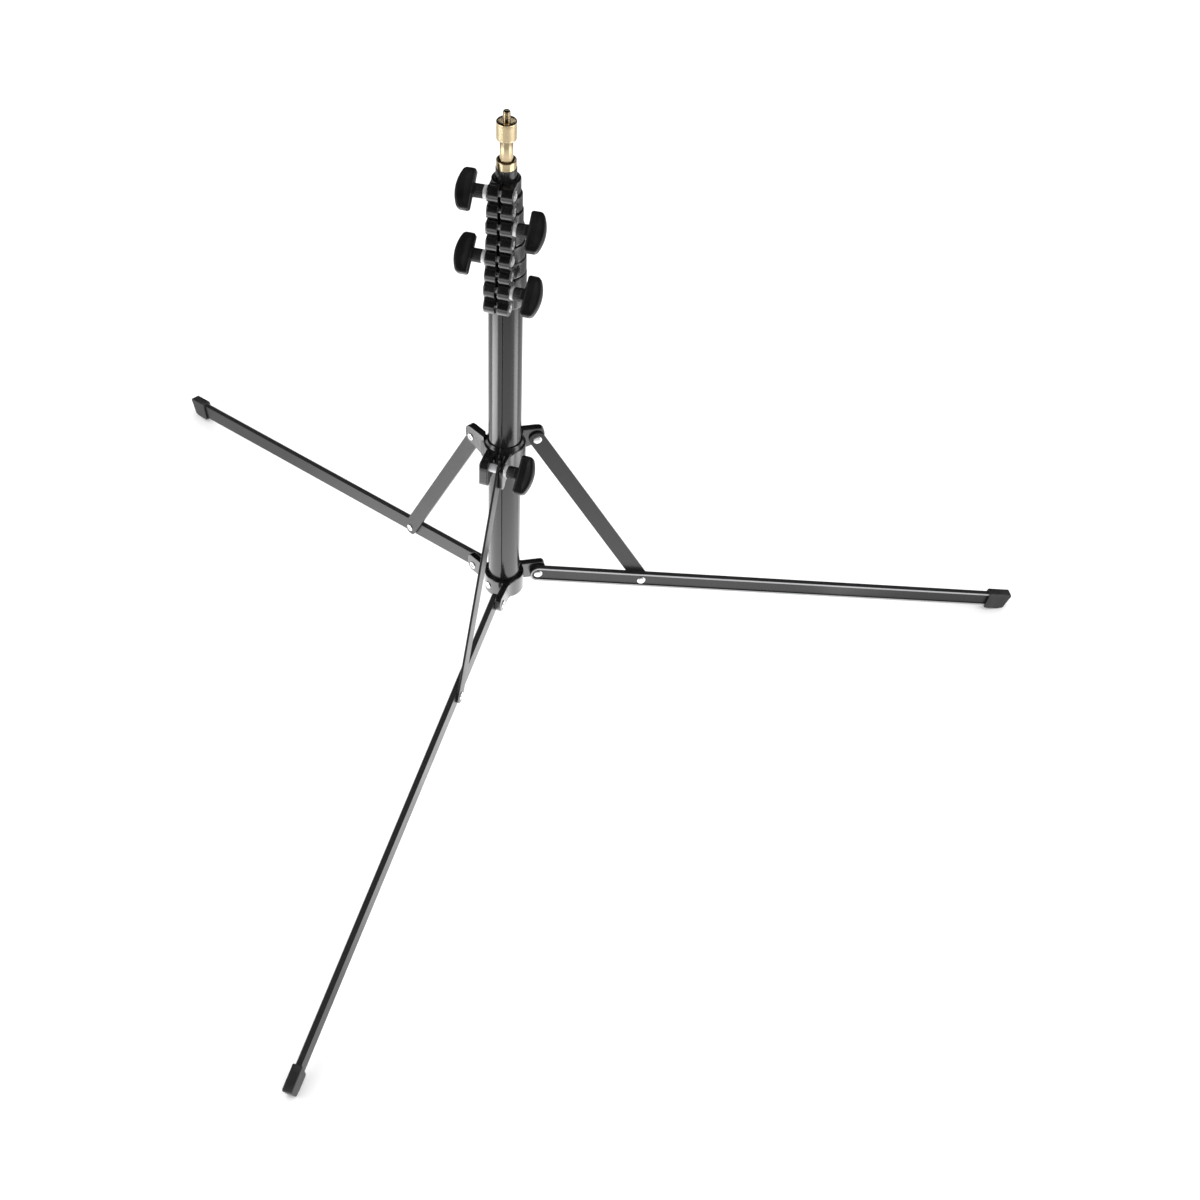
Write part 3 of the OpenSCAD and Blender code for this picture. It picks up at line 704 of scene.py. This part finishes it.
bmesh.ops.recalc_face_normals(bm, faces=bm.faces)
bmesh.ops.triangulate(bm, faces=[f for f in bm.faces if len(f.verts) > 4])
stand_for(link("top_stud_thread", bm, M_BRASS, 40), "riser_5", "brass", "top_stud")


# ------------------------------------------------------------------ floor, light, camera
VIEW_AZ, VIEW_EL = math.radians(16.2), math.radians(44.155)


def from_view(daz, el, dist, target=(0, 0, 0.25)):
    """A point at an azimuth measured from the camera's own, seen from the stand."""
    a_ = VIEW_AZ + math.radians(daz)
    e_ = math.radians(el)
    return Vector(target) + Vector((math.sin(a_) * math.cos(e_), -math.cos(a_) * math.cos(e_), math.sin(e_))) * dist


bm = bmesh.new()
bmesh.ops.create_circle(bm, cap_ends=True, radius=9.0, segments=96)
floor = link("floor", bm, new_mat("floor_paper")[0])
m = floor.data.materials[0]
nt = m.node_tree
b = [n for n in nt.nodes if n.type == "BSDF_PRINCIPLED"][0]
fine = noise(nt, coords(nt), 40.0, 3.0, 0.5)
nt.links.new(mixcol(nt, remap(nt, fine, 0, 1), (0.90, 0.90, 0.90), (0.915, 0.915, 0.915)), b.inputs["Base Color"])
b.inputs["Roughness"].default_value = 0.9
b.inputs["Specular IOR Level"].default_value = 0.1
floor.location.z = -0.0004


def softbox(name, where, look, size, power, tone=(1, 1, 1)):
    d_ = bpy.data.lights.new(name, "AREA")
    d_.shape = "RECTANGLE"
    d_.size, d_.size_y = size
    d_.energy = power
    d_.color = tone
    o = bpy.data.objects.new(name, d_)
    COLL.objects.link(o)
    o.location = where
    o.rotation_euler = (Vector(look) - Vector(where)).to_track_quat("-Z", "Y").to_euler()
    return o


def glossy_only(o):
    o.visible_camera = False
    o.visible_diffuse = False
    o.visible_shadow = False


def floor_card(name, a0, a1, r0, r1, power):
    """A light card lying on the floor beside the stand, seen only in reflections."""
    bm_ = bmesh.new()
    n = 12
    inner, outer = [], []
    for i in range(n + 1):
        a_ = VIEW_AZ + math.radians(a0 + (a1 - a0) * i / n)
        d_ = Vector((math.sin(a_), -math.cos(a_), 0))
        inner.append(bm_.verts.new(d_ * r0 + Vector((0, 0, 0.0006))))
        outer.append(bm_.verts.new(d_ * r1 + Vector((0, 0, 0.0006))))
    for i in range(n):
        bm_.faces.new((inner[i], outer[i], outer[i + 1], inner[i + 1]))
    mt = bpy.data.materials.new(name)
    mt.use_nodes = True
    t_ = mt.node_tree
    for x in list(t_.nodes):
        t_.nodes.remove(x)
    o_ = t_.nodes.new("ShaderNodeOutputMaterial")
    e_ = t_.nodes.new("ShaderNodeEmission")
    e_.inputs["Strength"].default_value = power
    t_.links.new(e_.outputs[0], o_.inputs["Surface"])
    ob_ = link(name, bm_, mt)
    glossy_only(ob_)
    return ob_


def floor_glow(name, stops):
    """What the parts see of the white floor: bright round the stand, dimmer further out."""
    bm_ = bmesh.new()
    bmesh.ops.create_circle(bm_, cap_ends=True, cap_tris=False, segments=48, radius=4.0, matrix=Matrix.Translation((0, 0, 0.0002)))
    mt = bpy.data.materials.new(name)
    mt.use_nodes = True
    t_ = mt.node_tree
    for x in list(t_.nodes):
        t_.nodes.remove(x)
    o_ = t_.nodes.new("ShaderNodeOutputMaterial")
    e_ = t_.nodes.new("ShaderNodeEmission")
    tc = t_.nodes.new("ShaderNodeTexCoord")
    ln = t_.nodes.new("ShaderNodeVectorMath")
    ln.operation = "LENGTH"
    t_.links.new(tc.outputs["Object"], ln.inputs[0])
    rp = t_.nodes.new("ShaderNodeValToRGB")
    top = max(v for _, v in stops)
    while len(rp.color_ramp.elements) < len(stops):
        rp.color_ramp.elements.new(0.5)
    for el, (r_, v) in zip(rp.color_ramp.elements, stops):
        el.position = r_
        el.color = (v / top, v / top, v / top, 1.0)
    mu = t_.nodes.new("ShaderNodeMath")
    mu.operation = "MULTIPLY"
    mu.inputs[1].default_value = top
    t_.links.new(ln.outputs["Value"], rp.inputs["Fac"])
    t_.links.new(rp.outputs["Color"], mu.inputs[0])
    t_.links.new(mu.outputs[0], e_.inputs["Strength"])
    t_.links.new(e_.outputs[0], o_.inputs["Surface"])
    ob_ = link(name, bm_, mt)
    glossy_only(ob_)
    return ob_


floor.visible_glossy = False
softbox("left_box", from_view(-70, 22, 1.9), (0, 0, 0.3), (0.7, 1.6), 9)
softbox("right_box", from_view(74, 22, 1.9), (0, 0, 0.3), (0.7, 1.6), 8)
floor_card("card_left", -94, -50, 0.335, 0.58, 5.6)
floor_card("card_right", 66, 96, 0.335, 0.58, 3.8)
floor_card("card_left_far", -95, -40, 0.80, 1.05, 3.0)
floor_card("card_right_far", 45, 95, 0.80, 1.05, 3.0)
floor_glow("floor_glow", [(0.0, 2.4), (0.16, 2.3), (0.30, 1.5), (0.38, 0.95), (0.55, 0.85), (0.62, 0.30), (0.845, 0.28), (0.90, 1.1)])

# small card behind, for the flat top of the brass head
bm = bmesh.new()
fwd = Vector((math.sin(VIEW_AZ), -math.cos(VIEW_AZ), 0))
side = Vector((math.cos(VIEW_AZ), math.sin(VIEW_AZ), 0))
bm.faces.new([bm.verts.new(fwd * -0.5 + side * x + Vector((0, 0, z))) for x, z in ((-0.12, 0.882), (0.12, 0.882), (0.12, 0.94), (-0.12, 0.94))])
mt = bpy.data.materials.new("back_card")
mt.use_nodes = True
for x in list(mt.node_tree.nodes):
    mt.node_tree.nodes.remove(x)
o_ = mt.node_tree.nodes.new("ShaderNodeOutputMaterial")
e_ = mt.node_tree.nodes.new("ShaderNodeEmission")
e_.inputs["Strength"].default_value = 1.3
mt.node_tree.links.new(e_.outputs[0], o_.inputs["Surface"])
card = link("back_card", bm, mt)
glossy_only(card)

world = bpy.data.worlds.new("studio")
bpy.context.scene.world = world
world.use_nodes = True
wn = world.node_tree
for n in list(wn.nodes):
    wn.nodes.remove(n)
wo = wn.nodes.new("ShaderNodeOutputWorld")
bg = wn.nodes.new("ShaderNodeBackground")
bg.inputs["Color"].default_value = (1.0, 1.0, 1.0, 1.0)
bg.inputs["Strength"].default_value = 1.3
wn.links.new(bg.outputs["Background"], wo.inputs["Surface"])
if hasattr(world, "cycles_visibility"):
    world.cycles_visibility.glossy = False

cam_d = bpy.data.cameras.new("camera")
cam = bpy.data.objects.new("camera", cam_d)
COLL.objects.link(cam)
cam_d.sensor_width = 36.0
cam_d.lens = 2215.96 / 1200.0 * 36.0
cam_d.clip_start, cam_d.clip_end = 0.05, 30.0
right = Vector((math.cos(VIEW_AZ), math.sin(VIEW_AZ), 0))
back = Vector((math.sin(VIEW_AZ) * math.cos(VIEW_EL), -math.cos(VIEW_AZ) * math.cos(VIEW_EL), math.sin(VIEW_EL)))
up = right.cross(-back)
roll = math.radians(2.748)
cx_ = right * math.cos(roll) + up * math.sin(roll)
cy_ = -right * math.sin(roll) + up * math.cos(roll)
eye = right * 0.087153 + Vector((0, 0, 0.0963205)) + back * 2.007445
cam.matrix_world = Matrix(((cx_.x, cy_.x, back.x, eye.x), (cx_.y, cy_.y, back.y, eye.y), (cx_.z, cy_.z, back.z, eye.z), (0, 0, 0, 1)))
bpy.context.scene.camera = cam
bpy.context.scene.view_settings.view_transform = "Standard"
